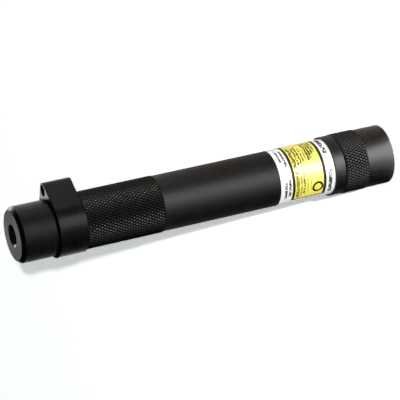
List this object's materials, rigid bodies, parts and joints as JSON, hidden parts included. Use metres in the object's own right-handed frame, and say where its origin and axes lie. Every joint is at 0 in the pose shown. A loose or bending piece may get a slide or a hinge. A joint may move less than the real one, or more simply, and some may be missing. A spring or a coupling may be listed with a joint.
{
  "type": "laser signal flare",
  "caption": "Hand-held laser signal flare: slim anodised barrel with knurled grips, swivelling lanyard collar, twist-switch tail cap, laser module and battery cells.",
  "frame": {"origin": "centre of the flat outer face of the tail cap, on which the flare stands", "axes": "+Z along the barrel axis from the tail face to the beam end; +X points to the eye of the lanyard collar at rest; the label's field faces -Y"},
  "size_m": [0.0338, 0.0278, 0.1814],
  "materials": {
    "anodised_black": "black anodised, fine turned",
    "anodised_collar": "black anodised, bare cut end faces",
    "brass": "machined",
    "spring_steel": "drawn wire",
    "seal_rubber": "smooth moulded",
    "clear_plastic": "translucent tube",
    "cell_jacket": "plain shrink sleeve on a drawn can",
    "black_plastic": "moulded",
    "board_green": "solder mask on glass laminate",
    "trimmer_blue": "moulded",
    "capacitor_can": "drawn can",
    "diode_can": "gold flashed steel",
    "optical_glass": "polished and coated",
    "label_white": "glossy printed vinyl",
    "label_yellow": "glossy printed vinyl",
    "label_black": "glossy printed ink"
  },
  "bodies": {
    "tail": {"tail_cap": "anodised_black", "tail_contact": "brass", "tail_spring": "spring_steel"},
    "barrel": {"tail_seal": "seal_rubber", "threaded_ring": "anodised_black", "body_tube": "anodised_black", "battery_sleeve": "clear_plastic", "front_contact": "brass", "board_spacer": "black_plastic", "driver_board": "board_green", "driver_chip": "black_plastic", "current_trimmer": "trimmer_blue", "sense_resistors": "black_plastic", "filter_capacitor": "capacitor_can", "laser_diode": "diode_can", "laser_housing": "brass", "focus_spring": "spring_steel", "lens_holder": "brass", "collimating_lens": "optical_glass", "lens_carrier": "black_plastic", "line_lens": "optical_glass", "module_retainer": "brass", "nose_seal": "seal_rubber", "aperture_window": "optical_glass", "window_gasket": "seal_rubber", "front_cap": "anodised_black", "label_wrap": "label_white", "label_field": "label_yellow", "label_print": "label_black"},
    "cells": {"rear_cell": "cell_jacket", "front_cell": "cell_jacket"},
    "collar": {"lanyard_collar": "anodised_collar"}
  },
  "joints": [
    {"name": "screw_travel", "type": "slide", "parent": "tail", "child": "cells", "axis": [0, 0, 1], "range_m": [-0.00041, 0.00601], "deforming": ["tail_spring"]},
    {"name": "tail_twist", "type": "hinge", "parent": "cells", "child": "barrel", "pos_m": [0, 0, 0], "axis": [0, 0, 1], "range_deg": [-144, 2160]},
    {"name": "collar_swivel", "type": "hinge", "parent": "barrel", "child": "collar", "pos_m": [0, 0, 0.15748], "axis": [0, 0, 1], "continuous": true}
  ],
  "couplings": [
    {"joint": "screw_travel", "follows": "tail_twist", "m_per_rad": 0.00015915}
  ]
}
